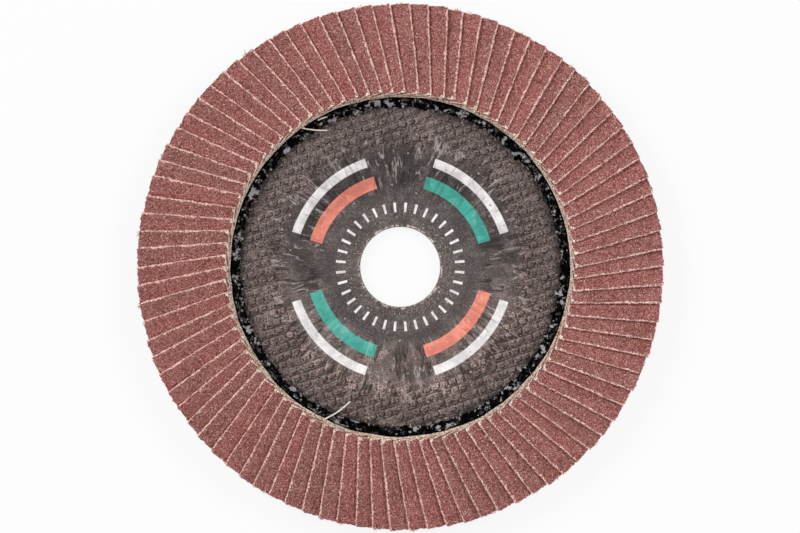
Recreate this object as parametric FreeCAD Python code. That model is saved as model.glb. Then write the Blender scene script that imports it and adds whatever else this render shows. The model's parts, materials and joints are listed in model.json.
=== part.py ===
import FreeCAD, Part
import math
import os

# Flap disc for an angle grinder, lying on its back with the abrasive side up.
# Millimetres and degrees, +Z up. The origin is on the bore axis, in the hub's back face.
# The backing plate is one dished moulding: a flat hub, a sloping wall, and a cone that falls
# towards the rim. Its two bends are short bevels, given by their reach along both sides.
# A thin paper label covers its front. A ring of resin holds the flaps, each laid over the flap
# before it like a roof tile, so that only a strip of each shows.
# A flap is described in its own directions: s runs outwards along the flap, n runs square to it,
# clockwise seen from above, and z is up. Seen from above each flap is a rectangle.

# Backing plate
BORE_DIAMETER = 22.23
PLATE_THICKNESS = 3.0
HUB_FLAT_DIAMETER = 45.0
HUB_DEPTH = 6.0
DISH_WALL_RUN = 9.5
CONE_ANGLE = 8.0
HUB_BEND = 1.2
CROWN_BEND = 2.4

# Front label
LABEL_THICKNESS = 0.2
LABEL_HOLE_MARGIN = 0.4
LABEL_EDGE_GAP = 0.1
GLUE_FILM = 0.03

# Flaps
DISC_DIAMETER = 145.6
FLAP_RING_OPENING = 93.4
FLAP_COUNT = 90
FLAPS_PER_NODE = 2
FLAP_WIDTH = 20.0
FLAP_THICKNESS = 0.9
FLAP_EDGE_OFFSET = 10.0
FLAP_OVERHANG = 3.8
FLAP_CLEARANCE = 0.02

# Resin
RESIN_UNDER_FLAPS = 1.2
RESIN_CLEARANCE = 0.05
RESIN_RIM_MARGIN = 0.5
BEAD_WIDTH = 2.3
BEAD_HEIGHT = 3.0
BEAD_FACETS = 3
BEAD_ROUNDNESS = 0.5

OUTPUT_FOLDER = "parts"

PITCH = 2 * math.pi / FLAP_COUNT
CONE_SLOPE = math.tan(math.radians(CONE_ANGLE))
HUB_FLAT_RADIUS = HUB_FLAT_DIAMETER / 2
CROWN_RADIUS = HUB_FLAT_RADIUS + DISH_WALL_RUN
PLATE_RADIUS = DISC_DIAMETER / 2 - FLAP_OVERHANG
TILT_STEPS = 40


def plate_front_z(radius):
    """Height of the plate's conical front at a radius."""
    return PLATE_THICKNESS + HUB_DEPTH - CONE_SLOPE * (radius - CROWN_RADIUS)


# Backing plate and label

def bevelled(points, bends):
    """The corner points of a path, with each inner corner cut off at a distance along both sides."""
    cut = [points[0]]
    for before, corner, after, bend in zip(points, points[1:], points[2:], bends):
        cut.append(corner + (before - corner).normalize() * bend)
        cut.append(corner + (after - corner).normalize() * bend)
    cut.append(points[-1])
    return cut


def lifted(points, lift):
    """The corner points of a path at a distance above the path through these points."""
    normals = []
    for start, end in zip(points, points[1:]):
        along = (end - start).normalize()
        normals.append(FreeCAD.Vector(-along.z, 0, along.x))
    moved = [points[0] + normals[0] * lift]
    for corner, before, after in zip(points[1:-1], normals, normals[1:]):
        moved.append(corner + (before + after) * (lift / (1 + before.dot(after))))
    moved.append(points[-1] + normals[-1] * lift)
    return moved


def dish_path(inner_radius, outer_radius, lift):
    """Section of the dished front between two radii, at a distance above the plate's own front."""
    front = [
        FreeCAD.Vector(inner_radius, 0, PLATE_THICKNESS),
        FreeCAD.Vector(HUB_FLAT_RADIUS, 0, PLATE_THICKNESS),
        FreeCAD.Vector(CROWN_RADIUS, 0, plate_front_z(CROWN_RADIUS)),
        FreeCAD.Vector(outer_radius, 0, plate_front_z(outer_radius)),
    ]
    return lifted(bevelled(front, [HUB_BEND, CROWN_BEND]), lift)


def turned_sheet(inner_radius, outer_radius, lower_lift, upper_lift):
    """A sheet of even thickness that follows the dish, as one turned solid."""
    lower = dish_path(inner_radius, outer_radius, lower_lift)
    upper = dish_path(inner_radius, outer_radius, upper_lift)
    outline = Part.makePolygon(lower + upper[::-1] + lower[:1])
    return Part.Face(outline).revolve(FreeCAD.Vector(0, 0, 0), FreeCAD.Vector(0, 0, 1), 360)


def backing_plate():
    return turned_sheet(BORE_DIAMETER / 2, PLATE_RADIUS, -PLATE_THICKNESS, 0)


def front_label(outer_radius):
    hole_radius = BORE_DIAMETER / 2 + LABEL_HOLE_MARGIN
    return turned_sheet(hole_radius, outer_radius, GLUE_FILM, GLUE_FILM + LABEL_THICKNESS)


# Flaps

class FlapLay:
    """How one flap lies: its directions in (s, n, z), and its exposed outer top corner."""

    def __init__(self):
        tip_radius = DISC_DIAMETER / 2
        self.tip_s = math.sqrt(tip_radius**2 - FLAP_EDGE_OFFSET**2)
        self.tip_z = 0.0
        self.set_directions(0.0)
        for _ in range(TILT_STEPS):
            self.set_directions(self.stacking_slope())
        self.tip_z = self.seated_height()

    def set_directions(self, slope):
        """Length, width and thickness directions of a flap that lies along the cone, tilted."""
        self.tilt_slope = slope
        self.length_way = FreeCAD.Vector(1, 0, -CONE_SLOPE).normalize()
        self.width_way = FreeCAD.Vector(0, 1, slope).normalize()
        self.upward = FreeCAD.Vector(CONE_SLOPE, -slope, 1).normalize()
        self.flap_length = self.length_to_opening()

    def point(self, inwards, buried, below):
        """A point of the flap, by its distances from the exposed outer top corner."""
        tip = FreeCAD.Vector(self.tip_s, FLAP_EDGE_OFFSET, self.tip_z)
        return tip - self.length_way * inwards - self.width_way * buried - self.upward * below

    def length_to_opening(self):
        """Length that brings a flap's inner end to the circle that the flap ring leaves free."""
        underside_corner = self.point(0, 0, FLAP_THICKNESS)
        return (underside_corner.x - FLAP_RING_OPENING / 2) / self.length_way.x

    def stacking_slope(self):
        """Slope across a flap at which the next one clears it at the tightest corner."""
        corner = self.point(self.flap_length, FLAP_WIDTH, FLAP_THICKNESS)
        rise = (FLAP_THICKNESS / self.upward.z + FLAP_CLEARANCE) / (2 * math.sin(PITCH / 2))
        return (rise - CONE_SLOPE * corner.y) / corner.x

    def seated_height(self):
        """Height of the tip when the buried edge lies on its bed of resin."""
        edge = self.point(0, FLAP_WIDTH, FLAP_THICKNESS)
        radius = math.hypot(edge.x, edge.y)
        return plate_front_z(radius) + RESIN_UNDER_FLAPS - edge.z

    def underside_z(self, s, n):
        """Height of the underside's plane."""
        edge = self.point(0, 0, FLAP_THICKNESS)
        return edge.z - CONE_SLOPE * (s - edge.x) + self.tilt_slope * (n - edge.y)


def in_disc(vector, angle):
    """A vector of (s, n, z), turned into the disc's X, Y and Z for a flap laid towards an angle."""
    return FreeCAD.Vector(
        vector.x * math.cos(angle) + vector.y * math.sin(angle),
        vector.x * math.sin(angle) - vector.y * math.cos(angle),
        vector.z,
    )


def flap(lay, angle):
    """One piece of abrasive cloth, laid towards an angle."""
    sides = [(0, 0), (lay.flap_length, 0), (lay.flap_length, FLAP_WIDTH), (0, FLAP_WIDTH), (0, 0)]
    outline = Part.makePolygon([in_disc(lay.point(*side, 0), angle) for side in sides])
    return Part.Face(outline).extrude(in_disc(lay.upward * -FLAP_THICKNESS, angle))


# Resin

class ResinRing:
    """The ring of cured resin: a bed with a tooth under each flap, and the bead inside the ring."""

    def __init__(self, lay):
        self.lay = lay
        self.wall_radius = FLAP_RING_OPENING / 2 - RESIN_CLEARANCE
        self.foot_radius = self.wall_radius - BEAD_WIDTH
        self.rim_radius = PLATE_RADIUS - RESIN_RIM_MARGIN
        self.step_n = lay.point(0, FLAP_WIDTH, 0).y - RESIN_CLEARANCE

    def step_point(self, index, radius, owner):
        """Point on the step beside a flap's buried edge, as high as the tooth under the owner."""
        s = math.sqrt(radius**2 - self.step_n**2)
        point = in_disc(FreeCAD.Vector(s, self.step_n, 0), index * PITCH)
        owner_angle = owner * PITCH
        owner_s = point.x * math.cos(owner_angle) + point.y * math.sin(owner_angle)
        owner_n = point.x * math.sin(owner_angle) - point.y * math.cos(owner_angle)
        point.z = self.lay.underside_z(owner_s, owner_n) - RESIN_CLEARANCE
        return point

    def bottom_point(self, index, radius):
        s = math.sqrt(radius**2 - self.step_n**2)
        bottom = plate_front_z(radius) + GLUE_FILM
        return in_disc(FreeCAD.Vector(s, self.step_n, bottom), index * PITCH)

    def bead_point(self, index, facet):
        """Point of the bead's rounded top, from the wall beside the flaps down to its foot."""
        turn = math.pi / 2 * facet / BEAD_FACETS
        radius = self.foot_radius + BEAD_WIDTH * math.cos(turn)
        wall_point = self.bottom_point(index, self.wall_radius)
        point = wall_point * (radius / self.wall_radius)
        fullness = math.cos(turn) ** BEAD_ROUNDNESS if facet < BEAD_FACETS else 0
        point.z = plate_front_z(radius) + GLUE_FILM + (BEAD_HEIGHT - GLUE_FILM) * fullness
        return point

    def sector(self, index):
        """The faces between the steps of one flap and the flap before it."""
        here, before = index, index - 1
        inner, outer = self.wall_radius, self.rim_radius
        low_in, low_out = (self.step_point(here, r, here) for r in (inner, outer))
        high_in, high_out = (self.step_point(here, r, here + 1) for r in (inner, outer))
        last_low_out = self.step_point(before, outer, before)
        last_high_in, last_high_out = (self.step_point(before, r, here) for r in (inner, outer))
        base_in, base_out = (self.bottom_point(here, r) for r in (inner, outer))
        last_base_in, last_base_out = (self.bottom_point(before, r) for r in (inner, outer))
        bead = [self.bead_point(here, facet) for facet in range(BEAD_FACETS + 1)]
        last_bead = [self.bead_point(before, facet) for facet in range(BEAD_FACETS + 1)]
        outlines = [
            [low_in, low_out, last_high_out, last_high_in],
            [low_in, high_in, high_out, low_out],
            [base_out, last_base_out, last_low_out, last_high_out, low_out],
            [low_in, high_in, bead[0], last_bead[0], last_high_in],
            [base_in, last_base_in, last_base_out],
            [base_in, last_base_out, base_out],
            [bead[-1], last_bead[-1], last_base_in, base_in],
        ]
        for facet in range(BEAD_FACETS):
            outlines.append([bead[facet], last_bead[facet], last_bead[facet + 1], bead[facet + 1]])
        return [Part.Face(Part.makePolygon(outline + outline[:1])) for outline in outlines]

    def solid(self):
        faces = [face for index in range(FLAP_COUNT) for face in self.sector(index)]
        shell = Part.Shell(faces)
        shell.sewShape()
        solid = Part.Solid(shell)
        if solid.Volume < 0:
            solid.reverse()
        return solid


def main():
    lay = FlapLay()
    resin = ResinRing(lay)
    nodes = {
        "backing_plate": backing_plate(),
        "front_label": front_label(resin.foot_radius - LABEL_EDGE_GAP),
        "resin_ring": resin.solid(),
    }
    ring = [flap(lay, index * PITCH) for index in range(FLAP_COUNT)]
    for first in range(0, FLAP_COUNT, FLAPS_PER_NODE):
        name = "flaps_%02d" % (first // FLAPS_PER_NODE + 1)
        nodes[name] = Part.makeCompound(ring[first:first + FLAPS_PER_NODE])
    os.makedirs(OUTPUT_FOLDER, exist_ok=True)
    for name, shape in nodes.items():
        shape.exportStep(os.path.join(OUTPUT_FOLDER, name + ".step"))


main()
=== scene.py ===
import json
import math
import random

import bpy
import numpy as np
from mathutils import Matrix, Vector, noise


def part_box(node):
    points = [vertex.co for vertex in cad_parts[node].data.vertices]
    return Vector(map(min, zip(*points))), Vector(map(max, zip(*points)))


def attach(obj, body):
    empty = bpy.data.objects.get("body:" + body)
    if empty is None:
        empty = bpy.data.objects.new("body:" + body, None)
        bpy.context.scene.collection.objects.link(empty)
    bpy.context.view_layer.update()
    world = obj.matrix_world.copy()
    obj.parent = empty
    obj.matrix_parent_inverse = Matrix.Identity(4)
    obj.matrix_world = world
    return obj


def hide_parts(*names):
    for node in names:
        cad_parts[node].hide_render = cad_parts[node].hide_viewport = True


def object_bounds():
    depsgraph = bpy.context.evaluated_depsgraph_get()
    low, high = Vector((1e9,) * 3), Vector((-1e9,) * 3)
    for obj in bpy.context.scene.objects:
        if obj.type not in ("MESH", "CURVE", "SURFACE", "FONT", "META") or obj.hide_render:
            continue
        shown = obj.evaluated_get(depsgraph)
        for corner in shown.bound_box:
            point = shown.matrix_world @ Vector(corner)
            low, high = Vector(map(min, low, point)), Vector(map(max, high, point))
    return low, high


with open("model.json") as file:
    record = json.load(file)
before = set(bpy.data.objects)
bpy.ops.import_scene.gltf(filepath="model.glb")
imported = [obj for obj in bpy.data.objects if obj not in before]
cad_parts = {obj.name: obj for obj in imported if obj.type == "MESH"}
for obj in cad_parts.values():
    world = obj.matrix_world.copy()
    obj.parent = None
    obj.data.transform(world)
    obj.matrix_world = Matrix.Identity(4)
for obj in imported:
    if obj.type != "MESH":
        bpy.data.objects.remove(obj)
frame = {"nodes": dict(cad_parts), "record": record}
cad_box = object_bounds()

# Flap disc, dressed. Metres, +Z up, the bore's axis on Z and the hub's back face at height 0.

MM = 0.001
SEED = 42

# Photograph: the camera looks straight down, and the scale holds a little below the highest flap corner
PHOTO_WIDTH = 800
PHOTO_HEIGHT = 533
DISC_CENTRE_PX = (400.2, 266.9)
PIXELS_PER_METRE = 3616
SCALE_DROP = 3.5 * MM
CAMERA_HEIGHT = 1.3
SENSOR_WIDTH = 36.0

# Light from all sides, and the floor a little under the disc
DOME_LIGHT = 0.45
FLOOR_SIZE = 6
FLOOR_DROP = 0.2 * MM
FLOOR_WHITENESS = 0.87

# Dish of the backing plate, as in the frame
PLATE_THICKNESS = 3.0 * MM
HUB_FLAT_RADIUS = 22.5 * MM
CROWN_RADIUS = 32.0 * MM
HUB_DEPTH = 6.0 * MM
CONE_SLOPE = math.tan(math.radians(8))
HUB_BEND = 1.2 * MM
CROWN_BEND = 2.4 * MM
BORE_EASE = 0.15 * MM
RIM_EASE = 0.4 * MM
PLATE_STEPS = 240
PLATE_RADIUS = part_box("backing_plate")[1].x
BORE_RADIUS = frame["record"]["mounts"][0]["dims"]["r_mm"] * MM
CROWN_Z = PLATE_THICKNESS + HUB_DEPTH

# Net of the glass cloth, which shows through the label past these two radii, first faintly
NET_ZONE = (31 * MM, 35 * MM)
NET_PITCH = 2.4 * MM
NET_TURN = math.radians(-18.5)
NET_WANDER = 1.0 * MM

# Label, which runs a little under the resin and is torn at its hole
GLUE_FILM = 0.03 * MM
LABEL_THICKNESS = 0.2 * MM
PAPER_THICKNESS = 0.12 * MM
LABEL_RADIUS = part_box("front_label")[1].x
LABEL_OVERLAP = 0.6 * MM
LABEL_HOLE_RADIUS = BORE_RADIUS + 0.1 * MM
TORN_BAND = 0.1 * MM
TORN_DEPTH = 0.3 * MM
LABEL_STEP = 0.42 * MM
LABEL_STEPS = 420

# Bead of the resin
BEAD_WIDTH = 2.31 * MM
BEAD_FOOT = 0.05 * MM
BEAD_SPILL = 2.9 * MM
BEAD_LUMP = 0.8 * MM

# Flaps
DISC_RADIUS = cad_box[1][0]
EDGE_OFFSET = 10.0 * MM
FLAP_PITCH = math.radians(4)
TIP_REACH = math.sqrt(DISC_RADIUS**2 - EDGE_OFFSET**2)
COAT_THICKNESS = 0.26 * MM
UPPER_CLOTH_SHARE = 0.375
CUTS_ALONG = 62
CUTS_ACROSS = (0.25, 0.7, 1.2, 1.7, 2.2, 2.7, 3.2, 3.7, 4.2, 4.7, 5.2, 8.0, 13.0)
CORNER_WEAR = 0.45 * MM
END_WEAR_LEAD = 0.16 * MM
END_WEAR_SLOPE = 3
EXPOSED_STRIP = 5.0 * MM
FRAYED_STRIP = 0.3 * MM
FRAY_REACH = 0.06 * MM
END_FRAY_REACH = 0.08 * MM
UNDERCUT = 0.2 * MM
INNER_STRIP = 4 * MM
INNER_TRIM = 0.45 * MM
OUTER_STRIP = 3 * MM
END_REACH = 0.15 * MM
END_CROWN = 0.35
FRAY_STRENGTH = 1.3 * MM
WAVE_STRENGTH = 0.35 * MM

# Faults of a laid flap
SIZE_FAULT = 0.2 * MM
TWIST_FAULT = math.radians(0.3)
LIFTED_STRIP = 3.5 * MM
EDGE_LIFT = 0.16 * MM

# Fibres and loose threads. A thread has its two ends in the photograph and its bow between them.
FIBRE_THICKNESS = 0.11 * MM
THREAD_THICKNESS = 0.4 * MM
STRAY_THREADS = (
    ((302, 128), (327, 130), -0.25 * MM),
    ((318, 120), (334, 116), 0.35 * MM),
    ((321, 421), (350, 402), -0.5 * MM),
)
THREAD_HEIGHTS = ((0.0, 3.6 * MM), (0.25, 3.3 * MM), (0.55, 2.4 * MM), (0.8, 1.0 * MM), (1.0, 0.5 * MM))


# Colours and nodes

def srgb(red, green, blue):
    """A colour as seen on screen, 0 to 255, as the linear colour that a material takes."""
    def linear(level):
        share = level / 255
        return share / 12.92 if share <= 0.04045 else ((share + 0.055) / 1.055) ** 2.4
    return (linear(red), linear(green), linear(blue), 1.0)


def feed(tree, node, inputs):
    """Sets a node's inputs, or links them where the value is a socket."""
    for key, value in inputs.items():
        if isinstance(value, bpy.types.NodeSocket):
            tree.links.new(value, node.inputs[key])
        else:
            node.inputs[key].default_value = value


def put(tree, kind, inputs, **settings):
    """A new node with its settings and its inputs."""
    node = tree.nodes.new(kind)
    for name, value in settings.items():
        setattr(node, name, value)
    feed(tree, node, inputs)
    return node


def reckon(tree, operation, *values):
    """Result of a Math node on up to three values or sockets."""
    return put(tree, "ShaderNodeMath", dict(enumerate(values)), operation=operation).outputs[0]


def in_turn(tree, operation, first, *others):
    """A Math operation over several values or sockets, one after another."""
    for other in others:
        first = reckon(tree, operation, first, other)
    return first


def product(tree, *masks):
    return in_turn(tree, "MULTIPLY", *masks)


def total(tree, *heights):
    return in_turn(tree, "ADD", *heights)


def less(tree, *heights):
    """The first height with the others taken off."""
    return in_turn(tree, "SUBTRACT", *heights)


def arrow(tree, operation, *values):
    """Result of a Vector Math node: a number for a length or a dot product, else a vector."""
    outputs = put(tree, "ShaderNodeVectorMath", dict(enumerate(values)), operation=operation).outputs
    return outputs["Value" if operation in ("LENGTH", "DOT_PRODUCT") else "Vector"]


def scaled(tree, place, factor):
    return put(tree, "ShaderNodeVectorMath", {0: place, "Scale": factor}, operation="SCALE").outputs[0]


def parts_of(tree, place):
    return put(tree, "ShaderNodeSeparateXYZ", {0: place}).outputs


def flattened(tree, place):
    return arrow(tree, "MULTIPLY", place, (1, 1, 0))


def from_axis(tree, place):
    """Distance of a place from the bore's axis."""
    return arrow(tree, "LENGTH", flattened(tree, place))


def ramp(tree, factor, *stops):
    """Colour Ramp through stops, each a position and a colour."""
    node = put(tree, "ShaderNodeValToRGB", {"Fac": factor})
    band = node.color_ramp
    while len(band.elements) < len(stops):
        band.elements.new(0.5)
    for element, (position, colour) in zip(band.elements, stops):
        element.position = position
        element.color = colour
    return node.outputs["Color"]


def window(tree, value, low, high, low_out=0.0, high_out=1.0):
    """Smooth change between two levels as the value passes from low to high."""
    inputs = {"Value": value, "From Min": low, "From Max": high, "To Min": low_out, "To Max": high_out}
    return put(tree, "ShaderNodeMapRange", inputs, interpolation_type="SMOOTHSTEP").outputs["Result"]


def blend_colour(tree, factor, below, above, mode="MIX"):
    node = put(tree, "ShaderNodeMix", {0: factor, 6: below, 7: above}, data_type="RGBA", blend_type=mode)
    return node.outputs[2]


def shaded(tree, colour, by):
    """A colour multiplied by another one or by a value."""
    return blend_colour(tree, 1.0, colour, by, "MULTIPLY")


def painted(tree, below, *coats):
    """A colour under coats, each a colour and the masks that say how strongly it lies there."""
    for colour, *masks in coats:
        below = blend_colour(tree, product(tree, *masks), below, colour)
    return below


def noise_at(tree, place, scale, detail, roughness=0.5):
    inputs = {"Vector": place, "Scale": scale, "Detail": detail, "Roughness": roughness}
    return put(tree, "ShaderNodeTexNoise", inputs).outputs


def clouds(tree, place, scale, detail=2.0, roughness=0.5):
    """Noise of a scale in features per metre."""
    return noise_at(tree, place, scale, detail, roughness)["Fac"]


def wander(tree, place, scale, reach):
    """A random push of up to a given reach, which changes over the place."""
    return scaled(tree, noise_at(tree, place, scale, 2.0)["Color"], reach)


def cells_at(tree, place, scale, feature="F1", **more):
    """Voronoi cells: (a random value for each cell, distance from its middle)."""
    inputs = {"Vector": place, "Scale": scale, **more}
    cells = put(tree, "ShaderNodeTexVoronoi", inputs, feature=feature).outputs
    luck = put(tree, "ShaderNodeSeparateColor", {"Color": cells["Color"]}).outputs["Red"]
    return luck, cells["Distance"]


def object_place(tree):
    return put(tree, "ShaderNodeTexCoord", {}).outputs["Object"]


def new_material(name):
    """An empty material with its surface shader: (material, node tree, shader)."""
    material = bpy.data.materials.new(name)
    material.use_nodes = True
    tree = material.node_tree
    return material, tree, tree.nodes["Principled BSDF"]


def bumped(tree, height, distance, strength):
    inputs = {"Height": height, "Distance": distance, "Strength": strength}
    return put(tree, "ShaderNodeBump", inputs).outputs["Normal"]


# Shared effects

def new_group(name, numbers, outputs):
    """An empty group that takes a place and numbers and gives values: (group, its inputs, its outputs)."""
    group = bpy.data.node_groups.new(name, "ShaderNodeTree")
    group.interface.new_socket(name="Place", in_out="INPUT", socket_type="NodeSocketVector")
    for label in numbers:
        group.interface.new_socket(name=label, in_out="INPUT", socket_type="NodeSocketFloat")
    for label in outputs:
        group.interface.new_socket(name=label, in_out="OUTPUT", socket_type="NodeSocketFloat")
    given = group.nodes.new("NodeGroupInput").outputs
    return group, given, group.nodes.new("NodeGroupOutput")


def use_group(tree, group, place, **numbers):
    return put(tree, "ShaderNodeGroup", {"Place": place, **numbers}, node_tree=group).outputs


def speckle_group():
    """Scattered specks: a mask that is 1 on a share of the cells of a given size."""
    group, given, leave = new_group("specks", ("Scale", "Share", "Size"), ("Mask",))
    place = arrow(group, "ADD", given["Place"], wander(group, given["Place"], 900, 0.5 * MM))
    luck, distance = cells_at(group, place, given["Scale"])
    chosen = reckon(group, "LESS_THAN", luck, given["Share"])
    near = reckon(group, "LESS_THAN", distance, given["Size"])
    feed(group, leave, {"Mask": product(group, chosen, near)})
    return group


def weave_group():
    """Glass cloth pressed through a thin cover: rounded pads in rows, with seams between them.

    Each pad has a line round it, for painted shadow on one side and painted highlight on the other."""
    group, given, leave = new_group("glass_net", ("Pitch", "Turn"), ("Height", "Shadowed_side", "Lit", "Seam"))
    turn = {"Vector": given["Place"], "Angle": given["Turn"]}
    turned = put(group, "ShaderNodeVectorRotate", turn, rotation_type="Z_AXIS").outputs[0]
    push = wander(group, given["Place"], 330, NET_WANDER)
    centred = arrow(group, "SUBTRACT", push, (NET_WANDER / 2,) * 3)
    place = arrow(group, "ADD", turned, centred)
    cell = arrow(group, "FRACTION", scaled(group, place, reckon(group, "DIVIDE", 1.0, given["Pitch"])))
    spot = arrow(group, "SUBTRACT", cell, (0.5, 0.5, 0.0))
    pad = arrow(group, "MULTIPLY", spot, (0.92, 1.35, 0.0))
    reach = arrow(group, "LENGTH", pad)
    side = arrow(group, "DOT_PRODUCT", pad, (0.6, -0.8, 0.0))
    off_line = reckon(group, "ABSOLUTE", less(group, reach, 0.4))
    line = window(group, off_line, 0.055, 0.12, 1, 0)
    sides = parts_of(group, spot)
    rows = window(group, reckon(group, "ABSOLUTE", sides["Y"]), 0.41, 0.46)
    columns = window(group, reckon(group, "ABSOLUTE", sides["X"]), 0.44, 0.48, 0.0, 0.6)
    feed(group, leave, {
        "Height": window(group, reach, 0.2, 0.5, 1, 0),
        "Shadowed_side": product(group, line, window(group, side, -0.06, 0.14)),
        "Lit": product(group, line, window(group, side, 0.0, -0.2)),
        "Seam": reckon(group, "MAXIMUM", rows, columns),
    })
    return group


def streak_group():
    """Noise and soft facets in polar places, with features per metre Across and Along the radius."""
    group, given, leave = new_group("radial_streaks", ("Across", "Along"), ("Level", "Facet"))
    flat = flattened(group, given["Place"])
    ring = scaled(group, arrow(group, "NORMALIZE", flat), product(group, given["Across"], CROWN_RADIUS))
    outwards = product(group, arrow(group, "LENGTH", flat), given["Along"])
    depth = put(group, "ShaderNodeCombineXYZ", {"Z": outwards}).outputs[0]
    place = arrow(group, "ADD", ring, depth)
    level = clouds(group, place, 1, 3, 0.58)
    facet, _ = cells_at(group, place, 1, "SMOOTH_F1", Smoothness=0.3)
    feed(group, leave, {"Level": level, "Facet": facet})
    return group


def arc_group():
    """Printed arcs: 1 inside a ring between two radii, on a share of each of a number of equal turns."""
    numbers = ("Inner", "Outer", "Count", "Share", "Turn", "Softness")
    group, given, leave = new_group("printed_arcs", numbers, ("Mask",))
    radius = from_axis(group, given["Place"])
    sides = parts_of(group, given["Place"])
    angle = reckon(group, "ARCTAN2", sides["Y"], sides["X"])
    turned = product(group, total(group, angle, given["Turn"]), given["Count"])
    turns = reckon(group, "DIVIDE", turned, 2 * math.pi)
    share = reckon(group, "ABSOLUTE", less(group, reckon(group, "FRACT", turns), 0.5))
    half = product(group, given["Share"], 0.5)
    along = product(group, less(group, half, share), radius, 2 * math.pi)
    length = reckon(group, "DIVIDE", along, given["Count"])
    inner = less(group, radius, given["Inner"])
    outer = less(group, given["Outer"], radius)
    depth = reckon(group, "MINIMUM", reckon(group, "MINIMUM", inner, outer), length)
    inputs = {"Value": depth, "From Min": 0.0, "From Max": given["Softness"]}
    feed(group, leave, {"Mask": put(group, "ShaderNodeMapRange", inputs).outputs["Result"]})
    return group


SPECKS = speckle_group()
GLASS_NET = weave_group()
STREAKS = streak_group()
PRINTED_ARCS = arc_group()


def specks(tree, place, scale, share, size):
    return use_group(tree, SPECKS, place, Scale=scale, Share=share, Size=size)["Mask"]


def glass_net(tree, place):
    return use_group(tree, GLASS_NET, place, Pitch=NET_PITCH, Turn=NET_TURN)


def streaks(tree, place, across, along, output="Level"):
    return use_group(tree, STREAKS, place, Across=across, Along=along)[output]


# Materials

def flap_facts(tree):
    """Where a point lies on its flap, in mm: from the worn edges, from the inner end and from the next
    flap's edge. The last output is the flap's own shade, from 0 to 1."""
    facts = put(tree, "ShaderNodeAttribute", {}, attribute_name="flap_place").outputs["Vector"]
    parts = parts_of(tree, facts)
    shade = put(tree, "ShaderNodeAttribute", {}, attribute_name="flap_shade").outputs["Fac"]
    return parts["X"], parts["Y"], parts["Z"], shade


def grain_colour(tree, place, luck, from_next, shade):
    """Red-brown grain, with painted light beside the next flap's edge and painted shade right under that
    edge.
    """
    grain = ramp(tree, luck,
                 (0.0, srgb(80, 26, 22)),
                 (0.2, srgb(122, 64, 58)),
                 (0.5, srgb(152, 94, 88)),
                 (0.8, srgb(178, 121, 114)),
                 (0.96, srgb(212, 156, 148)),
                 (1.0, srgb(255, 226, 216)))
    patches = window(tree, clouds(tree, place, 140, 3), 0.3, 0.7, 0.95, 1.1)
    tint = blend_colour(tree, shade, (1.01, 0.96, 0.96, 1), (0.94, 1.0, 1.0, 1))
    grain = shaded(tree, shaded(tree, grain, patches), tint)
    # Painted light: the grain lightened within about a millimetre of the next flap's edge, to lift the
    # shade that the step casts there.
    dust_and_painted_light = shaded(tree, grain, (1.16, 1.17, 1.18, 1))
    grain = blend_colour(tree, window(tree, from_next, 0.4, 1.2, 1, 0), grain, dust_and_painted_light)
    loose = window(tree, clouds(tree, place, 900, 3, 0.6), 0.4, 0.56, 0.1, 0.9)
    # Painted shade: the grain darkened and reddened right under the next flap's edge, broken up by a noise.
    painted_step_shade = shaded(tree, grain, (0.7, 0.5, 0.46, 1))
    return painted(tree, grain, (painted_step_shade, window(tree, from_next, 0.02, 0.26, 1, 0), loose))


def grit_material():
    """Abrasive grain, bonded to the cloth and worn off along its cut edges."""
    material, tree, shader = new_material("abrasive_grain")
    place = object_place(tree)
    from_edge, from_end, from_next, shade = flap_facts(tree)
    luck, distance = cells_at(tree, place, 5600)
    colour = grain_colour(tree, place, luck, from_next, shade)

    wear = clouds(tree, place, 1900, 3, 0.7)
    long_wear = window(tree, clouds(tree, place, 260), 0.38, 0.6, 0.4, 1.2)
    lumps = window(tree, clouds(tree, place, 420, 1), 0.68, 0.74, 0.0, 0.4)
    reach = total(tree, product(tree, window(tree, wear, 0.38, 0.64, 0.04, 0.44), long_wear), lumps)
    worn = window(tree, less(tree, reach, from_edge), -0.02, 0.03)
    shine = window(tree, wear, 0.4, 0.58, 0.46, 1.12)
    bare = blend_colour(tree, shade, srgb(255, 204, 196), srgb(255, 214, 200))

    near_corner = window(tree, from_edge, 0.5, 1.5, 1, 0)
    fray = window(tree, wear, 0.38, 0.62, 0.1, 1.0)
    frayed = product(tree, fray, total(tree, product(tree, near_corner, 0.9), 0.2))
    end_worn = window(tree, less(tree, frayed, from_end), -0.05, 0.1)
    lint = srgb(255, 234, 214)
    colour = painted(tree, colour, (shaded(tree, bare, shine), worn), (shaded(tree, lint, shine), end_worn))
    feed(tree, shader, {
        "Base Color": colour,
        "Normal": bumped(tree, less(tree, 1.0, distance), 0.12 * MM, 0.8),
        "Roughness": window(tree, luck, 0.0, 1.0, 0.95, 0.6),
        "Specular IOR Level": 0.15,
    })
    return material


def cloth_material():
    """Cream cotton cloth under the grain, reddened with grit dust along the exposed cut edge."""
    material, tree, shader = new_material("cut_cloth")
    fine = clouds(tree, object_place(tree), 1900.0, 3.0, 0.6)
    cream = ramp(tree, fine,
                 (0.38, srgb(112, 78, 60)),
                 (0.46, srgb(208, 166, 142)),
                 (0.53, srgb(252, 228, 208)),
                 (0.59, srgb(255, 252, 244)))
    dust_and_painted_light = ramp(tree, fine,
                  (0.38, srgb(156, 88, 78)),
                  (0.5, srgb(238, 178, 166)),
                  (0.6, srgb(255, 230, 218)))
    from_end = window(tree, flap_facts(tree)[1], 0.5, 2.2)
    feed(tree, shader, {
        "Base Color": blend_colour(tree, from_end, cream, dust_and_painted_light),
        "Normal": bumped(tree, fine, 0.08 * MM, 0.7),
        "Roughness": 0.95,
        "Specular IOR Level": 0.15,
    })
    return material


def thread_material():
    """Pale cotton of the long loose threads."""
    material, tree, shader = new_material("loose_thread")
    twist = clouds(tree, object_place(tree), 1600.0)
    colour = ramp(tree, twist, (0.35, srgb(214, 206, 184)), (0.55, srgb(252, 250, 236)))
    feed(tree, shader, {"Base Color": colour, "Roughness": 0.9})
    return material


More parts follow.
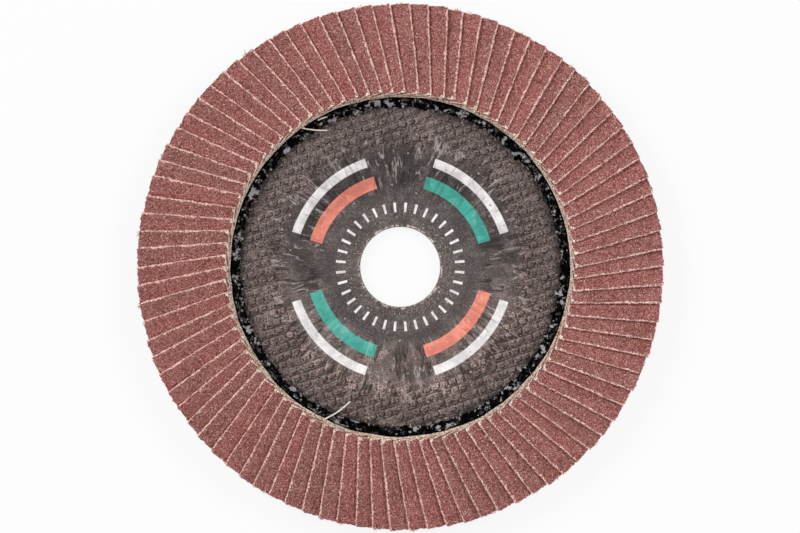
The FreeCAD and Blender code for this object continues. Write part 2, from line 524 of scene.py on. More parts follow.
def broken_lines(tree, level, middle, width, luck, share):
    """Thin lines where a noise passes its middle level, kept on a share of their length."""
    off_middle = reckon(tree, "ABSOLUTE", less(tree, level, middle))
    line = window(tree, off_middle, 0.0, width, 1, 0)
    return product(tree, line, window(tree, luck, share, share + 0.08))


def label_zones(tree, place):
    """Masks and strengths by zone of the label, from the radii in mm where each starts and ends."""
    radius = from_axis(tree, place)
    height = parts_of(tree, place)["Y"]

    def outwards(start, end, at_start=0, at_end=1):
        return window(tree, radius, start * MM, end * MM, at_start, at_end)

    return {
        "bore": outwards(11.4, 12.1, 1, 0),
        "near_bore": outwards(11.4, 15, 1, 0),
        "coarse_flecks": outwards(12, 19, 0.55, 0.1),
        "fine_flecks": outwards(12, 19, 0.55, 0.3),
        "print": product(tree, outwards(16, 20), outwards(30, 36, 1, 0)),
        "wall": product(tree, outwards(20, 24), outwards(34, 40, 1, 0.2)),
        "dullness": outwards(28, 35, 0.42, 0.62),
        "net": window(tree, radius, *NET_ZONE),
        "bead": outwards(42, 44.5),
        # Strength of the painted shade in the net's seams: more towards −Y, less towards +Y.
        "seam_shade_strength": window(tree, height, -24 * MM, 20 * MM, 0.85, 0.42),
        # Painted light: where the wall's paper is made lighter, towards −Y.
        "lit_wall_side": window(tree, height, -26 * MM, 14 * MM, 1, 0),
    }


def plain_paper(tree, place, zones, fibres):
    """Dark paper: smooth on the hub, smoother still in spots under the print, and coarse over the net."""
    hub_paper = ramp(tree, fibres,
                     (0.34, srgb(58, 51, 50)),
                     (0.5, srgb(86, 78, 77)),
                     (0.66, srgb(122, 113, 111)))
    net_paper = ramp(tree, fibres,
                     (0.36, srgb(42, 33, 31)),
                     (0.46, srgb(84, 71, 69)),
                     (0.55, srgb(106, 92, 89)),
                     (0.66, srgb(188, 170, 164)))
    paper = blend_colour(tree, zones["net"], hub_paper, net_paper)
    blotches = window(tree, clouds(tree, place, 170, 5, 0.65), 0.36, 0.64, 0.68, 1.26)
    blotched = window(tree, zones["net"], 0.0, 1.0, 1.0, 0.35)
    paper = blend_colour(tree, blotched, paper, blotches, "MULTIPLY")
    smooth_spots = window(tree, clouds(tree, place, 130, 3), 0.46, 0.56)
    return painted(tree, paper, (srgb(70, 62, 61), zones["print"], smooth_spots, 0.7))


def netted_paper(tree, place, zones, paper, fibres):
    """The paper marked by the net under it, with painted highlight and painted shadow on the pads' two
    sides and painted shade in the seams: (colour, height of the relief).
    """
    net = glass_net(tree, place)
    kept = product(tree, window(tree, clouds(tree, place, 380, 3), 0.37, 0.48), zones["net"])
    lit_sides = product(tree, net["Lit"], kept)
    shadowed_sides = product(tree, net["Shadowed_side"], kept)
    seams = product(tree, net["Seam"], kept, zones["seam_shade_strength"])
    # Painted highlights on the pads' lit sides, painted shadows on their other sides, and painted shade in
    # the seams between them.
    paper = painted(tree, paper,
                    (srgb(170, 152, 145), lit_sides, 0.35),
                    (srgb(14, 9, 8), shadowed_sides, 0.95),
                    (srgb(26, 18, 16), seams))
    pressed = less(tree, total(tree, net["Height"], fibres), shadowed_sides, seams)
    return paper, product(tree, zones["net"], pressed)


def worn_paper(tree, place, zones, paper, rings):
    """The paper rubbed and torn at the bore, flecked all over and smeared with resin beside the bead."""
    flecks = srgb(196, 180, 172)
    smear = window(tree, clouds(tree, place, 520, 3), 0.42, 0.52)
    return painted(tree, paper,
                   (srgb(136, 100, 86), zones["near_bore"], window(tree, rings, 0.46, 0.58), 0.22),
                   (srgb(236, 226, 218), zones["bore"], window(tree, rings, 0.5, 0.58), 0.95),
                   (flecks, specks(tree, place, 1500, 0.16, 0.34), zones["coarse_flecks"]),
                   (flecks, specks(tree, place, 2900, 0.3, 0.34), zones["fine_flecks"]),
                   (srgb(18, 14, 14), zones["bead"], smear, 0.85))


def creased_paper(tree, place, zones, paper):
    """The paper creased on the wall and scratched on the net, with painted light and shade on its facets,
    folds and wall: (colour, shaded folds, lit folds).
    """
    crumpled = arrow(tree, "ADD", place, wander(tree, place, 500, 3 * MM))
    # Painted light and shade: each soft facet of the creased wall made lighter or darker by its own amount.
    facet = streaks(tree, crumpled, 420, 210, "Facet")
    painted_facet_light = shaded(tree, paper, window(tree, facet, 0.2, 0.8, 0.8, 1.42))
    # Painted light: the wall's paper lighter and warmer towards −Y and darker towards +Y.
    painted_side_light = blend_colour(tree, zones["lit_wall_side"], (0.78, 0.78, 0.79, 1), (1.5, 1.38, 1.32, 1))
    paper = painted(tree, paper, (shaded(tree, painted_facet_light, painted_side_light), zones["wall"]))

    bends = streaks(tree, place, 250, 60)
    patches = clouds(tree, place, 260)
    # Painted shade in dark crease lines and painted highlight in pale crease lines, both broken up in
    # patches.
    shaded_folds = product(tree, zones["wall"], broken_lines(tree, bends, 0.44, 0.046, patches, 0.41))
    lit_folds = product(tree, zones["wall"], broken_lines(tree, bends, 0.55, 0.026, patches, 0.47))
    rubs = window(tree, streaks(tree, place, 900, 130), 0.59, 0.68)
    rub_patches = window(tree, clouds(tree, place, 230), 0.48, 0.6)
    scratches = broken_lines(tree, clouds(tree, place, 430, 3), 0.5, 0.02, patches, 0.44)
    paper = painted(tree, paper,
                    (srgb(26, 20, 19), shaded_folds, 0.9),
                    (srgb(196, 180, 176), lit_folds, 0.42),
                    (srgb(196, 180, 176), zones["wall"], rubs, rub_patches, 0.34),
                    (srgb(180, 162, 155), scratches, zones["net"], 0.4))
    return paper, shaded_folds, lit_folds


def printed_paper(tree, place, paper):
    """The print: a ring of white ticks, and arcs in white, green and coral, worn off in spots."""
    white, green, coral = srgb(252, 247, 246), srgb(80, 186, 169), srgb(253, 150, 131)
    kept = window(tree, clouds(tree, place, 900, 4, 0.7), 0.31, 0.36)
    scuffs = window(tree, clouds(tree, place, 260, 4, 0.65), 0.36, 0.62, 0.74, 1.03)
    for ink, inner, outer, count, share, turn in (
        (white, 15.2, 18.0, 36.0, 0.28, 0.0),
        (green, 22.6, 26.2, 2.0, 0.32, math.pi / 4),
        (coral, 22.6, 26.2, 2.0, 0.32, 3 * math.pi / 4),
        (white, 29.0, 31.6, 4.0, 0.6, 0.0),
    ):
        arcs = use_group(tree, PRINTED_ARCS, place, Inner=inner * MM, Outer=outer * MM, Count=count,
                         Share=share, Turn=turn, Softness=0.12 * MM)["Mask"]
        paper = painted(tree, paper, (shaded(tree, ink, scuffs), arcs, kept))
    return paper


def label_material():
    """Dark printed paper: smooth on the hub, creased on the wall, and over the net further out."""
    material, tree, shader = new_material("label_print")
    place = object_place(tree)
    zones = label_zones(tree, place)
    fibres = clouds(tree, place, 2300, 4, 0.75)
    rings = clouds(tree, place, 800, 4, 0.7)
    paper = plain_paper(tree, place, zones, fibres)
    paper, relief = netted_paper(tree, place, zones, paper, fibres)
    paper = worn_paper(tree, place, zones, paper, rings)
    paper, shaded_folds, lit_folds = creased_paper(tree, place, zones, paper)
    # The folds' painted shade and painted highlight lie over the print as well.
    paper = painted(tree, printed_paper(tree, place, paper),
                    (srgb(60, 50, 48), shaded_folds, 0.35),
                    (srgb(236, 226, 222), lit_folds, 0.2),
                    (srgb(206, 192, 176), specks(tree, place, 460, 0.16, 0.12), 0.75))
    height = total(tree, relief, less(tree, lit_folds, shaded_folds), product(tree, rings, 0.4))
    feed(tree, shader, {
        "Base Color": paper,
        "Normal": bumped(tree, height, 0.12 * MM, 0.7),
        "Roughness": zones["dullness"],
        "Specular IOR Level": 0.25,
    })
    return material


def resin_material():
    """Cured black epoxy: glossy lumps, with painted highlights in pale patches and lint caught in it."""
    material, tree, shader = new_material("black_resin")
    place = object_place(tree)
    near_foot = window(tree, from_axis(tree, place), 44.6 * MM, 46.2 * MM, 0.05, -0.05)
    # Painted highlight: pale streaky patches, more of them near the bead's foot, that stand in for glints
    # on the glossy lumps.
    glint_streaks = window(tree, streaks(tree, place, 900, 560), 0.51, 0.58)
    clumps = window(tree, total(tree, clouds(tree, place, 260), near_foot), 0.47, 0.55)
    pale = product(tree, glint_streaks, clumps)
    colour = painted(tree, srgb(3, 2, 2),
                     (srgb(206, 202, 206), pale, 0.7),
                     (srgb(178, 170, 164), specks(tree, place, 1100, 0.12, 0.25)))
    feed(tree, shader, {
        "Base Color": colour,
        "Roughness": window(tree, pale, 0.0, 1.0, 0.12, 0.4),
        "Coat Weight": window(tree, clouds(tree, place, 700), 0.54, 0.6),
        "Normal": bumped(tree, clouds(tree, place, 1700, 3), 0.25 * MM, 0.8),
        "Specular IOR Level": 0.02,
        "Coat Roughness": 0.08,
    })
    return material


def plate_material():
    """Dark resin-bonded glass cloth with its net pressed into the surface, cut pale at the bore."""
    material, tree, shader = new_material("pressed_glass_cloth")
    place = object_place(tree)
    net = glass_net(tree, place)
    grain = clouds(tree, place, 1800, 4, 0.7)
    colour = ramp(tree, grain, (0.3, srgb(38, 33, 30)), (0.7, srgb(78, 69, 62)))
    cut_glass = ramp(tree, grain, (0.38, srgb(104, 84, 72)), (0.6, srgb(212, 196, 182)))
    radius = from_axis(tree, place)
    at_bore = window(tree, radius, BORE_RADIUS + 0.25 * MM, BORE_RADIUS + 0.5 * MM, 0.8, 0.0)
    height = total(tree, net["Height"], product(tree, grain, 0.5))
    feed(tree, shader, {
        "Base Color": painted(tree, colour, (srgb(96, 86, 74), net["Height"], 0.4), (cut_glass, at_bore)),
        "Normal": bumped(tree, height, 0.2 * MM, 0.7),
        "Roughness": window(tree, grain, 0.3, 0.7, 0.5, 0.75),
    })
    return material


# Modelling helpers

def deselect_all():
    for thing in bpy.context.selected_objects:
        thing.select_set(False)


def new_piece(name, data):
    """An object of a mesh or other data, put into the scene."""
    piece = bpy.data.objects.new(name, data)
    bpy.context.scene.collection.objects.link(piece)
    return piece


def new_plane(name, size, place):
    deselect_all()
    bpy.ops.mesh.primitive_plane_add(size=size, location=place)
    bpy.context.object.name = name
    return bpy.context.object


def make_active(piece):
    """Makes one piece the only selected and active one."""
    deselect_all()
    piece.select_set(True)
    bpy.context.view_layer.objects.active = piece


def edit(piece):
    make_active(piece)
    bpy.ops.object.mode_set(mode="EDIT")


def leave_edit():
    bpy.ops.object.mode_set(mode="OBJECT")


def select_everything():
    bpy.ops.mesh.select_all(action="SELECT")


def select_where(piece, elements, test):
    """In edit mode: selects just the vertices or the polygons that pass a test."""
    bpy.ops.mesh.select_all(action="DESELECT")
    leave_edit()
    for element in getattr(piece.data, elements):
        element.select = bool(test(element))
    edit(piece)


def points_of(piece):
    points = np.zeros(len(piece.data.vertices) * 3)
    piece.data.vertices.foreach_get("co", points)
    return points.reshape(-1, 3)


def set_points(piece, points):
    piece.data.vertices.foreach_set("co", np.asarray(points, np.float32).ravel())
    piece.data.update()


def apply_all(piece):
    make_active(piece)
    for modifier in list(piece.modifiers):
        bpy.ops.object.modifier_apply(modifier=modifier.name)


def shade_smooth(piece, degrees):
    make_active(piece)
    bpy.ops.object.shade_smooth_by_angle(angle=math.radians(degrees))


def joined(pieces, name):
    """One piece made of several, under a name."""
    make_active(pieces[0])
    for other in pieces[1:]:
        other.select_set(True)
    bpy.ops.object.join()
    pieces[0].name = name
    return pieces[0]


def share_between(value, start, end):
    """0 up to the start, 1 from the end on, and evenly between them. The end may be the lower one."""
    return np.clip((value - start) / (end - start), 0, 1)


def front_z(radius):
    """Height of the plate's front at a radius, its bends taken as sharp."""
    if radius > CROWN_RADIUS:
        return CROWN_Z - CONE_SLOPE * (radius - CROWN_RADIUS)
    up_wall = max(0.0, radius - HUB_FLAT_RADIUS) / (CROWN_RADIUS - HUB_FLAT_RADIUS)
    return PLATE_THICKNESS + HUB_DEPTH * up_wall


def turned_profile(name, corners):
    """A mesh of one open line of edges in the XZ plane, through corners given by radius and height."""
    mesh = bpy.data.meshes.new(name)
    lines = [(index, index + 1) for index in range(len(corners) - 1)]
    mesh.from_pydata([(radius, 0, height) for radius, height in corners], lines, [])
    return new_piece(name, mesh)


def round_corners(piece, bends):
    """In edit mode: rounds corners of the profile, each given by its place, reach and segments."""
    for corner, reach, segments in bends:
        select_where(piece, "vertices", lambda vertex: math.dist(vertex.co.xz, corner) < 1e-6)
        bpy.ops.mesh.bevel(offset=reach, segments=segments, affect="VERTICES", clamp_overlap=False)


def spin_closed(steps):
    """Turns the whole edited profile once round the Z axis, closes the seam and leaves edit mode."""
    select_everything()
    bpy.ops.mesh.spin(steps=steps, angle=2 * math.pi, center=(0, 0, 0), axis=(0, 0, 1))
    select_everything()
    bpy.ops.mesh.remove_doubles(threshold=1e-6)
    bpy.ops.mesh.normals_make_consistent(inside=False)
    leave_edit()


# Backing plate

def backing_plate(material):
    """The dished moulding, with round bends and slightly eased rims."""
    cone = math.atan(CONE_SLOPE)
    wall = math.atan(HUB_DEPTH / (CROWN_RADIUS - HUB_FLAT_RADIUS))
    across_crown = PLATE_THICKNESS / math.cos((wall + cone) / 2)
    hub_back = HUB_FLAT_RADIUS + PLATE_THICKNESS * math.tan(wall / 2)
    crown_back = (CROWN_RADIUS + across_crown * math.sin((wall - cone) / 2),
                  CROWN_Z - across_crown * math.cos((wall - cone) / 2))
    rim_z = front_z(PLATE_RADIUS)
    rim_back = (PLATE_RADIUS - PLATE_THICKNESS * math.sin(cone), rim_z - PLATE_THICKNESS * math.cos(cone))
    outline = [
        ((BORE_RADIUS, PLATE_THICKNESS), BORE_EASE, 2),
        ((HUB_FLAT_RADIUS, PLATE_THICKNESS), HUB_BEND, 6),
        ((CROWN_RADIUS, CROWN_Z), CROWN_BEND, 6),
        ((PLATE_RADIUS, rim_z), RIM_EASE, 2),
        (rim_back, RIM_EASE, 2),
        (crown_back, CROWN_BEND, 6),
        ((hub_back, 0.0), HUB_BEND, 6),
        ((BORE_RADIUS, 0.0), BORE_EASE, 2),
    ]
    corners = [corner for corner, _, _ in outline]
    piece = turned_profile("pressed_plate", corners + corners[:1])
    edit(piece)
    select_everything()
    bpy.ops.mesh.remove_doubles(threshold=1e-7)
    round_corners(piece, outline)
    spin_closed(PLATE_STEPS)
    shade_smooth(piece, 35)
    piece.data.materials.append(material)
    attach(piece, "root")
    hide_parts("backing_plate")


# Front label

def folds_outwards(radius, angle, around, step, start, sharpness):
    """Sharp folds that run outwards, from noise with so many features round and steps of a length."""
    ray = Vector((math.cos(angle) * around, math.sin(angle) * around, radius / step + start))
    return (1 - abs(noise.noise(ray))) ** sharpness


def crease_height(place, radius, angle):
    """Height of the paper over the plate, from the creases that the dish and its net pressed into it."""
    on_wall = share_between(radius, 20.5 * MM, 24.5 * MM) * share_between(radius, 39 * MM, 32 * MM)
    on_net = share_between(radius, *NET_ZONE)
    folds = folds_outwards(radius, angle, 11.0, 9 * MM, 0.0, 6)
    fine = folds_outwards(radius, angle, 26.0, 6 * MM, 7.0, 5)
    near, far = noise.voronoi(place / (3.2 * MM))[0][:2]
    facets = min(1.0, (far - near) * 2.2)
    creases = on_wall * (0.5 * folds + 0.3 * fine + 0.45 * facets)
    shifted = (place + noise.noise_vector(place / (2.5 * MM)) * (NET_WANDER / 2)).xy
    along = shifted @ Vector((math.cos(NET_TURN), -math.sin(NET_TURN)))
    across = shifted @ Vector((math.sin(NET_TURN), math.cos(NET_TURN)))
    pads = math.cos(2 * math.pi * along / NET_PITCH) + math.cos(2 * math.pi * across / NET_PITCH)
    unevenness = noise.noise(place / (1.1 * MM)) * 0.5 + 0.5
    return MM * (0.26 * creases + 0.045 * on_net * pads + (0.02 + 0.05 * on_net) * unevenness)


def label_profile():
    """The label's section: corners in even steps from its hole to its rim, over the round bends."""
    lift = GLUE_FILM + LABEL_THICKNESS
    outer = LABEL_RADIUS + LABEL_OVERLAP
    hub = (HUB_FLAT_RADIUS, PLATE_THICKNESS + lift)
    crown = (CROWN_RADIUS, CROWN_Z + lift)
    hole = (LABEL_HOLE_RADIUS, PLATE_THICKNESS + lift)
    sketch = turned_profile("label_sketch", [hole, hub, crown, (outer, front_z(outer) + lift)])
    edit(sketch)
    round_corners(sketch, [(hub, 2 * HUB_BEND, 8), (crown, 1.5 * CROWN_BEND, 8)])
    leave_edit()
    corners = sorted(points_of(sketch)[:, (0, 2)].tolist())
    bpy.data.objects.remove(sketch)
    line = [corners[0]]
    for start, end in zip(corners, corners[1:]):
        cuts = max(1, round(math.dist(start, end) / LABEL_STEP))
        for step in range(1, cuts + 1):
            line.append([a + (b - a) * step / cuts for a, b in zip(start, end)])
    return line


def front_label(material):
    """The printed paper over the front, from its torn hole to just under the resin."""
    piece = turned_profile("printed_label", label_profile())
    edit(piece)
    spin_closed(LABEL_STEPS)
    points = points_of(piece)
    for point in points:
        radius, angle = math.hypot(point[0], point[1]), math.atan2(point[1], point[0])
        point[2] += crease_height(Vector(point), radius, angle)
        if radius < LABEL_HOLE_RADIUS + TORN_BAND:
            place = Vector(point)
            torn = 0.5 + noise.noise(place / (1.1 * MM)) + 0.5 * noise.noise(place / (0.4 * MM))
            point[:2] *= 1 + TORN_DEPTH * max(0.0, torn) / radius
    set_points(piece, points)
    paper = piece.modifiers.new("paper", "SOLIDIFY")
    paper.thickness = PAPER_THICKNESS
    paper.offset = -1
    apply_all(piece)
    shade_smooth(piece, 60)
    piece.data.materials.append(material)
    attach(piece, "root")
    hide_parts("front_label")


# Resin

def pull_bead(point, radius, share):
    """Moves a point of the bead: the foot spills over the label, and the face swells into lumps.

    The share is 0 at the bead's foot and 1 where the flaps start."""
    place = Vector(point)
    height = point[2] - front_z(radius)
    if height < BEAD_FOOT:
        spill = noise.noise(place / (3.0 * MM)) + 0.7 * noise.noise(place / (0.9 * MM))
        new_radius = radius + (spill * BEAD_SPILL - 0.1 * MM) * (1 - share)
        point[:2] *= new_radius / radius
        point[2] = front_z(new_radius) + 0.04 * MM
    else:
        lump = noise.noise(place / (1.7 * MM)) + 0.6 * noise.noise(place / (0.75 * MM))
        inwards = -place.xy.normalized() * (1 - share)
        point += np.array((*inwards, 0.6)) * BEAD_LUMP * lump * min(1.0, height / (0.6 * MM))


def resin_ring(material):
    """The resin bed, copied from the frame, with its bead pulled into lumps."""
    piece = new_piece("cured_resin", frame["nodes"]["resin_ring"].data.copy())
    foot_radius = np.hypot(*points_of(piece).T[:2]).min()
    wall_radius = foot_radius + BEAD_WIDTH
    edit(piece)
    select_everything()
    bpy.ops.mesh.remove_doubles(threshold=1e-6)
    bpy.ops.mesh.tris_convert_to_quads()
    select_where(piece, "polygons", lambda polygon: (
        math.hypot(*polygon.center.xy) < wall_radius and polygon.normal.z > -0.5))
    bpy.ops.mesh.select_mode(type="FACE")
    bpy.ops.mesh.subdivide(number_cuts=7, quadcorner="INNERVERT")
    leave_edit()
    points = points_of(piece)
    for point in points:
        radius = math.hypot(point[0], point[1])
        if radius <= wall_radius:
            pull_bead(point, radius, (radius - foot_radius) / BEAD_WIDTH)
    set_points(piece, points)
    shade_smooth(piece, 80)
    piece.data.materials.clear()
    piece.data.materials.append(material)
    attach(piece, "root")
    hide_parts("resin_ring")


# Flaps

def loose_boxes(mesh):
    """Corner points of each loose box in a mesh, once each, in order round the disc."""
    owner = {}
    for triangle in mesh.polygons:
        corners = [tuple(round(c, 7) for c in mesh.vertices[index].co) for index in triangle.vertices]
        box = set(corners)
        for corner in corners:
            box |= owner.get(corner, set())
        for corner in box:
            owner[corner] = box
    boxes = [np.array(sorted(box)) for box in {frozenset(box) for box in owner.values()}]
    return sorted(boxes, key=lambda box: math.atan2(*box.mean(axis=0)[1::-1]))


def flap_place(corners):
    """Where a flap of the frame lies: its matrix, and its width, length and thickness.

    In its own directions x runs to the exposed edge, y to the outer end and z up, and the origin is
    the exposed outer top corner."""
    ways = np.linalg.eigh(np.cov(corners.T))[1]
    upward = ways[:, 0] * math.copysign(1, ways[2, 0])
    top = sorted(corners, key=lambda corner: corner @ upward)[4:]
    inner_end, outer_end = np.array_split(sorted(top, key=lambda corner: math.hypot(*corner[:2])), 2)
    exposed_outer, buried_outer = sorted(outer_end, key=lambda corner: -corner[2])
    exposed_inner = max(inner_end, key=lambda corner: corner[2])
    across = exposed_outer - buried_outer
    along = exposed_outer - exposed_inner
    width, length = np.linalg.norm(across), np.linalg.norm(along)
    matrix = Matrix((across / width, along / length, upward)).transposed().to_4x4()
    matrix.translation = exposed_outer
    return matrix, (width, length, np.ptp(corners @ upward))


def cut_flap(width, length, thickness):
    """A flat flap with its outer corners worn round, cut into strips and layers for its wear."""
    flap = new_plane("flap_blank", 1, (-width / 2, -length / 2, 0))
    flap.scale = (width, length, 1)
    bpy.ops.object.transform_apply(location=True, rotation=False, scale=True)
    edit(flap)
    bpy.ops.mesh.select_mode(type="VERT")
    select_where(flap, "vertices", lambda vertex: vertex.co.y > -length / 2)
    bpy.ops.mesh.bevel(offset=CORNER_WEAR, segments=3, affect="VERTICES")
    cuts = [((-across * MM, 0, 0), (1, 0, 0)) for across in CUTS_ACROSS]
    cuts += [((0, -length * step / CUTS_ALONG, 0), (0, 1, 0)) for step in range(1, CUTS_ALONG)]
    for place, way in cuts:
        select_everything()
        bpy.ops.mesh.bisect(plane_co=place, plane_no=way)
    select_everything()
    cloth = thickness - COAT_THICKNESS
    for depth in (COAT_THICKNESS, cloth * UPPER_CLOTH_SHARE, cloth * (1 - UPPER_CLOTH_SHARE)):
        bpy.ops.mesh.extrude_region_move(TRANSFORM_OT_translate={"value": (0, 0, -depth)})
    select_everything()
    bpy.ops.mesh.normals_make_consistent(inside=False)
    leave_edit()
    return flap


def flap_blank(width, length, thickness, materials):
    """One worn flap, cloth below and grain above, with its places marked for the materials."""
    blank = cut_flap(width, length, thickness)
    for material in materials:
        blank.data.materials.append(material)
    for polygon in blank.data.polygons:
        polygon.material_index = int(polygon.center.z < -COAT_THICKNESS)
    points = points_of(blank)
    x, y, z = points.T
    from_edge = np.minimum(-x, END_WEAR_LEAD - END_WEAR_SLOPE * y)
    from_next = x + (TIP_REACH + y) * math.sin(FLAP_PITCH)
    places = np.stack([from_edge, length + y, from_next], axis=1) / MM
    marks = blank.data.attributes.new("flap_place", "FLOAT_VECTOR", "POINT")
    marks.data.foreach_set("vector", places.ravel())

    at_edge = share_between(x, -FRAYED_STRIP, 0)
    at_outer_end = share_between(y, -FRAYED_STRIP, 0)
    at_inner_end = share_between(length + y, FRAYED_STRIP, 0)
    in_cloth = z < -0.9 * COAT_THICKNESS
    at_bottom = z < -0.9 * thickness
    looseness = np.maximum(np.where(in_cloth, 0.61, 0.18) * np.maximum(at_edge, at_inner_end),
                           np.where(in_cloth, 1.0, 0.8) * at_outer_end)
    for name, shares in (("fray", looseness), ("wave", share_between(x, -EXPOSED_STRIP, 0))):
        group = blank.vertex_groups.new(name=name)
        for index, share in enumerate(shares):
            group.add([index], float(share), "REPLACE")

    x += at_edge * (FRAY_REACH * in_cloth - (FRAY_REACH + UNDERCUT) * at_bottom)
    y -= at_inner_end * END_FRAY_REACH * in_cloth
    y += INNER_TRIM * share_between(length + y, INNER_STRIP, 0)
    crown = np.sqrt(DISC_RADIUS**2 - (x + EDGE_OFFSET)**2) - TIP_REACH
    y += (END_REACH + END_CROWN * crown) * share_between(y, -OUTER_STRIP, 0)
    set_points(blank, points)
    return blank


def laid_flap(blank, matrix, sizes, luck):
    """A copy of the blank in its place, with the small faults of a flap laid by a machine."""
    width, length, _ = sizes
    points = points_of(blank)
    x, y, z = points.T
    x += (x + width) * luck.gauss(0, SIZE_FAULT) / width
    y += (y + length / 2) * luck.gauss(0, SIZE_FAULT) / length
    z += share_between(x, -LIFTED_STRIP, 0) ** 2 * luck.uniform(0.0, EDGE_LIFT)
    twist = Matrix.Rotation(luck.gauss(0, TWIST_FAULT), 4, "Z")
    centre = Matrix.Translation((-width / 2, -length / 2, 0))
    piece = new_piece("flap", blank.data.copy())
    for group in blank.vertex_groups:
        piece.vertex_groups.new(name=group.name)
    set_points(piece, points)
    shade = piece.data.attributes.new("flap_shade", "FLOAT", "POINT")
    shade.data.foreach_set("value", np.full(len(points), luck.random(), np.float32))
    piece.data.transform(matrix @ centre @ twist @ centre.inverted())
    return piece


def fibre_piece(name, lines, thickness, materials):
    """A mesh of fine round fibres in the last material, each along a smooth line through its points."""
    curve = bpy.data.curves.new(name, "CURVE")
    curve.dimensions = "3D"
    curve.bevel_depth = thickness / 2
    curve.bevel_resolution = 1
    curve.resolution_u = 2
    curve.use_fill_caps = True
    for material in materials:
        curve.materials.append(material)
    for points in lines:
        spline = curve.splines.new("NURBS")
        spline.points.add(len(points) - 1)
        for spot, point in zip(spline.points, points):
            spot.co = (*point, 1)
        spline.order_u = 3
        spline.use_endpoint_u = True
        spline.material_index = len(materials) - 1
    piece = new_piece(name, curve)
    make_active(piece)
    bpy.ops.object.convert(target="MESH")
    return piece


def frayed_fibres(matrix, sizes, luck):
    """Lines of the short fibres that stand out of one flap's cut cloth, in a tuft on some outer ends."""
    _, length, thickness = sizes
    tuft = -luck.uniform(0.4, 4.0) * MM
    tuft_size, tuft_reach = luck.choice(((3, 0.3), (3, 0.3), (6, 0.4), (30, 0.6)))
    fibres = []
    for count, spot, way, reach in (
        (tuft_size, lambda: (tuft + luck.gauss(0, 0.36) * MM, 0.1 * MM), (0.0, 0.8), (0.15, tuft_reach)),
        (2, lambda: (-luck.uniform(0.1, 4.9) * MM, 0.1 * MM), (0.0, 1.0), (0.15, 0.4)),
        (8, lambda: (0.0, -luck.uniform(0.2 * MM, length)), (1.0, 0.2), (0.1, 0.3)),
        (8, lambda: (-luck.uniform(0.0, 1.0) * MM, -length), (0.2, -0.8), (0.15, 0.5)),
    ):
        for _ in range(count):
            root = Vector((*spot(), -luck.uniform(0.1, 0.6) * thickness))
            spread = Vector((luck.gauss(0, 0.7), luck.gauss(0, 0.5), luck.uniform(-0.1, 0.5)))
            out = spread + Vector((*way, 0))
            curl = Vector((luck.gauss(0, 0.5), luck.gauss(0, 0.5), luck.uniform(-0.2, 0.3)))
            size = luck.uniform(*reach) * MM
            points = [root - out * 0.1 * MM, root, root + (out * 0.6 + curl) * size, root + out * size]
            fibres.append([matrix @ point for point in points])
    return fibres


def ruffle(piece, group, texture, strength, direction):
    """Adds a displacement by a texture, as strong as a vertex group says."""
    push = piece.modifiers.new(group, "DISPLACE")
    push.texture = texture
    push.texture_coords = "LOCAL"
    push.vertex_group = group
    push.strength = strength
    push.mid_level = 0.5
    push.direction = direction


def cloud_texture(name, size, kind):
    texture = bpy.data.textures.new(name, "CLOUDS")
    texture.noise_scale = size
    texture.noise_depth = 2
    texture.cloud_type = kind
    return texture


def at_pixel(spot):
    """Place on the disc, seen from above, of a pixel of the photograph."""
    x = (spot[0] - DISC_CENTRE_PX[0]) / PIXELS_PER_METRE
    y = (DISC_CENTRE_PX[1] - spot[1]) / PIXELS_PER_METRE
    return Vector((x, y, 0))


def stray_threads():
    """Lines of the three threads that hang out of the flap ring and lie over the bead and the label."""
    lines = []
    for start, end, bow in STRAY_THREADS:
        first, last = at_pixel(start), at_pixel(end)
        side = Vector((first.y - last.y, last.x - first.x, 0)).normalized() * bow
        line = []
        for share, clear in THREAD_HEIGHTS:
            point = first.lerp(last, share) + side * math.sin(math.pi * share)
            point.z = front_z(math.hypot(point.x, point.y)) + clear
            line.append(point)
        lines.append(line)
    return lines


def take_thread(threads, name):
    """Takes the first thread that starts over a node of the frame out of the list, if there is one."""
    low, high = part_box(name)
    for thread in threads:
        if low.x < thread[0].x < high.x and low.y < thread[0].y < high.y:
            threads.remove(thread)
            return [thread]
    return []


def flap_ring(materials, thread_cotton):
    """All flaps, two to a piece as in the frame, with the loose threads on the pairs that hold them."""
    luck = random.Random(SEED)
    frayed = cloud_texture("frayed_edge", 0.45 * MM, "COLOR")
    waved = cloud_texture("waved_strip", 6 * MM, "GRAYSCALE")
    nodes = sorted(name for name in frame["nodes"] if name.startswith("flaps_"))
    first_flap = loose_boxes(frame["nodes"][nodes[0]].data)[0]
    blank = flap_blank(*flap_place(first_flap)[1], materials)
    threads = stray_threads()
    for name in nodes:
        pair, fibres = [], []
        for corners in loose_boxes(frame["nodes"][name].data):
            matrix, sizes = flap_place(corners)
            pair.append(laid_flap(blank, matrix, sizes, luck))
            fibres += frayed_fibres(matrix, sizes, luck)
        piece = joined(pair, name.replace("flaps", "flap_pair"))
        ruffle(piece, "wave", waved, WAVE_STRENGTH, "Z")
        ruffle(piece, "fray", frayed, FRAY_STRENGTH, "RGB_TO_XYZ")
        apply_all(piece)
        loose = [fibre_piece("fibres", fibres, FIBRE_THICKNESS, materials)]
        for thread in take_thread(threads, name):
            loose.append(fibre_piece("thread", [thread], THREAD_THICKNESS, [thread_cotton]))
        piece = joined([piece] + loose, piece.name)
        shade_smooth(piece, 40)
        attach(piece, "root")
        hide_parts(name)
    bpy.data.objects.remove(blank)


# Surroundings

def seen_background(tree):
    """1 where the camera sees a surface, straight or in a reflection, and 0 where it only lights others."""
    paths = put(tree, "ShaderNodeLightPath", {}).outputs
    reflected = reckon(tree, "MAXIMUM", paths["Is Glossy Ray"], paths["Is Transmission Ray"])
    return reckon(tree, "MAXIMUM", paths["Is Camera Ray"], reflected)


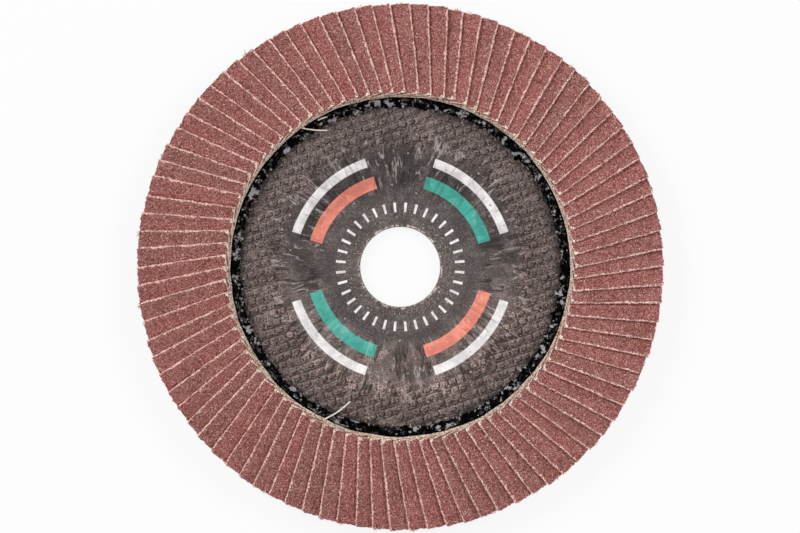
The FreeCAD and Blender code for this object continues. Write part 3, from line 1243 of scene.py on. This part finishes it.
def floor():
    """Pale floor that the camera sees as white, with the disc's shadow kept faintly."""
    plane = new_plane("floor", FLOOR_SIZE, (0, 0, -FLOOR_DROP))
    material, tree, shader = new_material("pale_floor")
    feed(tree, shader, {"Base Color": (0.9, 0.9, 0.9, 1), "Roughness": 0.9, "Specular IOR Level": 0.0})
    white = put(tree, "ShaderNodeEmission", {"Color": (1, 1, 1, 1), "Strength": 1.0}).outputs[0]
    whiteness = product(tree, seen_background(tree), FLOOR_WHITENESS)
    mixed = put(tree, "ShaderNodeMixShader", {0: whiteness, 1: shader.outputs[0], 2: white}).outputs[0]
    feed(tree, tree.nodes["Material Output"], {"Surface": mixed})
    plane.data.materials.append(material)


def soft_lamp(name, place, size, power):
    """A square lamp that points at the disc's centre."""
    data = bpy.data.lights.new(name, "AREA")
    data.shape = "SQUARE"
    data.size = size
    data.energy = power
    lamp = new_piece(name, data)
    lamp.location = place
    lamp.rotation_euler = (-Vector(place)).to_track_quat("-Z", "Y").to_euler()


def studio():
    """White surroundings that light the disc evenly, and a soft lamp on either side."""
    world = bpy.data.worlds.new("studio")
    bpy.context.scene.world = world
    world.use_nodes = True
    tree = world.node_tree
    strength = total(tree, product(tree, seen_background(tree), 1 - DOME_LIGHT), DOME_LIGHT)
    feed(tree, tree.nodes["Background"], {"Color": (1, 1, 1, 1), "Strength": strength})
    soft_lamp("left_softbox", (-0.9, 0.5, 1.3), size=0.7, power=11.5)
    soft_lamp("right_softbox", (0.9, 0.4, 1.2), size=0.5, power=6.5)
    bpy.context.scene.view_settings.view_transform = "Standard"


def camera():
    """Camera straight above the disc, at the photograph's scale."""
    data = bpy.data.cameras.new("photo_camera")
    data.sensor_width = SENSOR_WIDTH
    scale_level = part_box("flaps_01")[1].z - SCALE_DROP
    data.lens = SENSOR_WIDTH * (CAMERA_HEIGHT - scale_level) / (PHOTO_WIDTH / PIXELS_PER_METRE)
    data.clip_end = 10
    eye = new_piece("photo_camera", data)
    eye.location = at_pixel((PHOTO_WIDTH / 2, PHOTO_HEIGHT / 2))
    eye.location.z = CAMERA_HEIGHT
    bpy.context.scene.camera = eye


camera()
studio()
floor()
backing_plate(plate_material())
front_label(label_material())
resin_ring(resin_material())
flap_ring([grit_material(), cloth_material()], thread_material())
